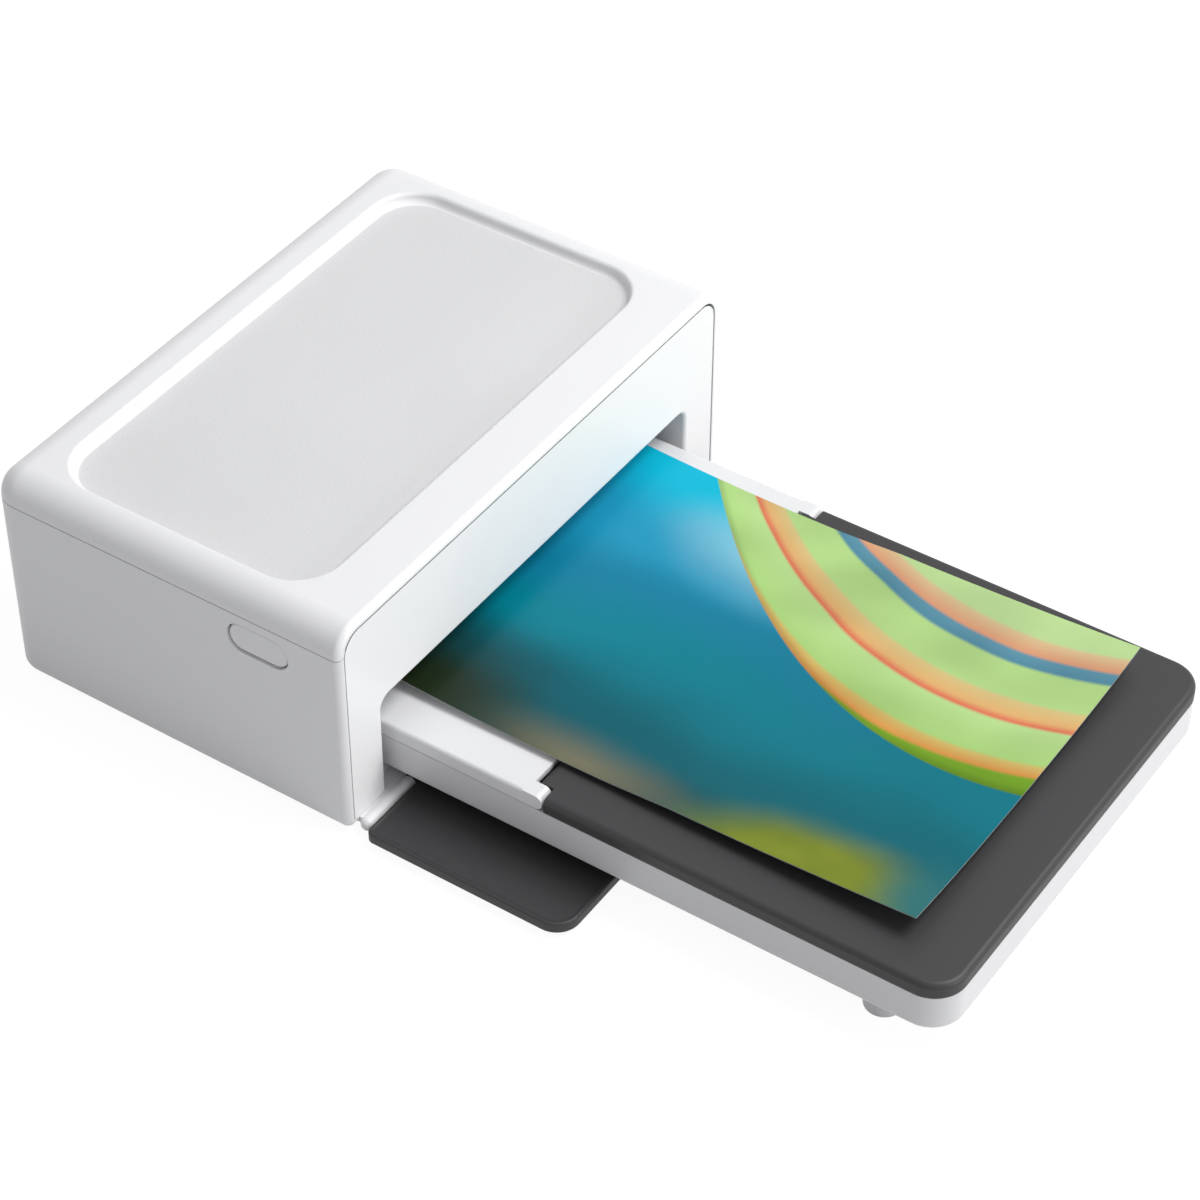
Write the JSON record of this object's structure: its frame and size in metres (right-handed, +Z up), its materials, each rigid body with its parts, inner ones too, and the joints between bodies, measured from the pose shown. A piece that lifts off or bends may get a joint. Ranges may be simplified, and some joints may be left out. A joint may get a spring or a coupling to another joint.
{
  "type": "photo printer",
  "caption": "Compact photo printer with an open front flap, a pull-out paper cassette with a hinged lid, a side ribbon door and a working roller train.",
  "frame": {"origin": "middle of the overall footprint, at the height of the table that the feet stand on", "axes": "+X to the printer's right as seen from the front, +Y from the cassette towards the rear of the case, +Z up"},
  "size_m": [0.166, 0.266, 0.0662],
  "materials": {
    "housing_white": "fine matte grain",
    "cover_white": "satin gloss",
    "bezel_gloss": "high gloss",
    "button_white": "satin",
    "foot_rubber": "matte",
    "cassette_grey": "fine matte",
    "flap_charcoal": "fine grain",
    "lid_charcoal": "fine grain",
    "guide_black": "smooth",
    "cartridge_grey": "smooth",
    "plate_steel": "galvanised sheet",
    "shaft_steel": "ground",
    "screw_steel": "blackened",
    "motor_can": "drawn can",
    "sink_aluminium": "extruded",
    "head_ceramic": "ground",
    "ribbon_ink": "film",
    "roller_rubber": "ground",
    "gear_ivory": "moulded",
    "pinion_brass": "cut",
    "board_green": "solder mask",
    "chip_black": "moulded",
    "sheet_paper": "coated sheets",
    "print_paper": "glossy print"
  },
  "bodies": {
    "printer": {"base_housing": "housing_white", "top_cover": "cover_white", "front_bezel": "bezel_gloss", "rubber_feet": "foot_rubber", "cassette_rails": "cassette_grey", "chassis_left": "plate_steel", "chassis_right": "plate_steel", "chassis_bars": "plate_steel", "exit_guide": "guide_black", "upper_guide": "guide_black", "lower_guide": "guide_black", "rear_guide": "guide_black", "gear_studs": "shaft_steel", "drive_motor": "motor_can", "head_rod": "shaft_steel", "head_springs": "shaft_steel", "pickup_shaft": "shaft_steel", "ribbon_cartridge": "cartridge_grey", "ribbon_film": "ribbon_ink", "main_board": "board_green", "board_parts": "chip_black", "wireless_module": "motor_can", "power_inlet": "chip_black", "usb_port": "shaft_steel", "power_switch": "chip_black", "case_screws": "screw_steel", "inner_screws": "screw_steel", "flap_pins": "shaft_steel", "door_pins": "shaft_steel"},
    "flap": {"front_flap": "flap_charcoal"},
    "cassette": {"cassette_base": "cassette_grey", "cassette_cover": "cover_white", "cassette_feet": "cassette_grey", "lift_springs": "plate_steel", "lift_plate": "plate_steel", "paper_stack": "sheet_paper", "lid_pins": "shaft_steel", "photo_print": "print_paper"},
    "lid": {"cassette_lid": "lid_charcoal"},
    "power_button": {"button_cap": "button_white"},
    "door": {"cartridge_door": "housing_white"},
    "print_head": {"thermal_head": "head_ceramic", "head_heatsink": "sink_aluminium", "head_arms": "plate_steel"},
    "platen": {"platen_shaft": "shaft_steel", "platen_roller": "roller_rubber", "platen_gear": "gear_ivory"},
    "feed": {"feed_roller": "shaft_steel", "feed_gear": "gear_ivory"},
    "pinch": {"pinch_roller": "shaft_steel"},
    "arm": {"pickup_arm": "cassette_grey"},
    "pickup": {"pickup_roller": "roller_rubber"},
    "takeup": {"takeup_spool": "ribbon_ink", "takeup_gear": "gear_ivory"},
    "supply": {"supply_spool": "ribbon_ink"},
    "idler": {"idler_gear": "gear_ivory"},
    "reduction": {"reduction_gear": "gear_ivory"},
    "pinion": {"motor_pinion": "pinion_brass"}
  },
  "joints": [
    {"name": "flap_hinge", "type": "hinge", "parent": "printer", "child": "flap", "pos_m": [0, 0.0214, 0.003], "axis": [-1, 0, 0], "range_deg": [0, 3]},
    {"name": "cassette_slide", "type": "slide", "parent": "printer", "child": "cassette", "axis": [0, -1, 0], "range_m": [0, 0.16]},
    {"name": "lid_hinge", "type": "hinge", "parent": "cassette", "child": "lid", "pos_m": [0, -0.019, 0.02177], "axis": [-1, 0, 0], "range_deg": [0, 95], "deforming": ["photo_print"]},
    {"name": "button_press", "type": "slide", "parent": "printer", "child": "power_button", "axis": [1, 0, 0], "range_m": [0, 0.0008], "stiffness_N_per_m": 600, "springref_m": -0.0008},
    {"name": "door_hinge", "type": "hinge", "parent": "printer", "child": "door", "pos_m": [0.0819, 0.08954, 0.0321], "axis": [0, 1, 0], "range_deg": [0, 95]},
    {"name": "head_lift", "type": "hinge", "parent": "printer", "child": "print_head", "pos_m": [0, 0.1235, 0.0511], "axis": [-1, 0, 0], "range_deg": [0, 3.5], "stiffness_Nm_per_rad": 0.2, "springref_deg": -28.65},
    {"name": "pickup_lift", "type": "hinge", "parent": "printer", "child": "arm", "pos_m": [0, 0.03954, 0.0257], "axis": [1, 0, 0], "range_deg": [0, 8]},
    {"name": "platen_spin", "type": "hinge", "parent": "printer", "child": "platen", "pos_m": [0, 0.091, 0.02411], "axis": [1, 0, 0], "continuous": true},
    {"name": "idler_spin", "type": "hinge", "parent": "printer", "child": "idler", "pos_m": [0, 0.08117, 0.01722], "axis": [1, 0, 0], "continuous": true},
    {"name": "feed_spin", "type": "hinge", "parent": "printer", "child": "feed", "pos_m": [0, 0.07314, 0.02614], "axis": [1, 0, 0], "continuous": true},
    {"name": "takeup_spin", "type": "hinge", "parent": "printer", "child": "takeup", "pos_m": [0, 0.07314, 0.04414], "axis": [1, 0, 0], "continuous": true},
    {"name": "reduction_spin", "type": "hinge", "parent": "printer", "child": "reduction", "pos_m": [0, 0.10296, 0.01853], "axis": [1, 0, 0], "continuous": true},
    {"name": "pinion_spin", "type": "hinge", "parent": "printer", "child": "pinion", "pos_m": [0, 0.11301, 0.01675], "axis": [1, 0, 0], "continuous": true},
    {"name": "pinch_spin", "type": "hinge", "parent": "printer", "child": "pinch", "pos_m": [0, 0.07314, 0.03154], "axis": [1, 0, 0], "continuous": true},
    {"name": "pickup_spin", "type": "hinge", "parent": "arm", "child": "pickup", "pos_m": [0, 0.05704, 0.0206], "axis": [1, 0, 0], "continuous": true},
    {"name": "supply_spin", "type": "hinge", "parent": "printer", "child": "supply", "pos_m": [0, 0.11014, 0.04414], "axis": [1, 0, 0], "continuous": true}
  ],
  "couplings": [
    {"joint": "idler_spin", "follows": "platen_spin", "ratio": -1},
    {"joint": "feed_spin", "follows": "platen_spin", "ratio": 1},
    {"joint": "takeup_spin", "follows": "platen_spin", "ratio": -0.5},
    {"joint": "reduction_spin", "follows": "platen_spin", "ratio": -0.83333},
    {"joint": "pinion_spin", "follows": "platen_spin", "ratio": 2}
  ]
}
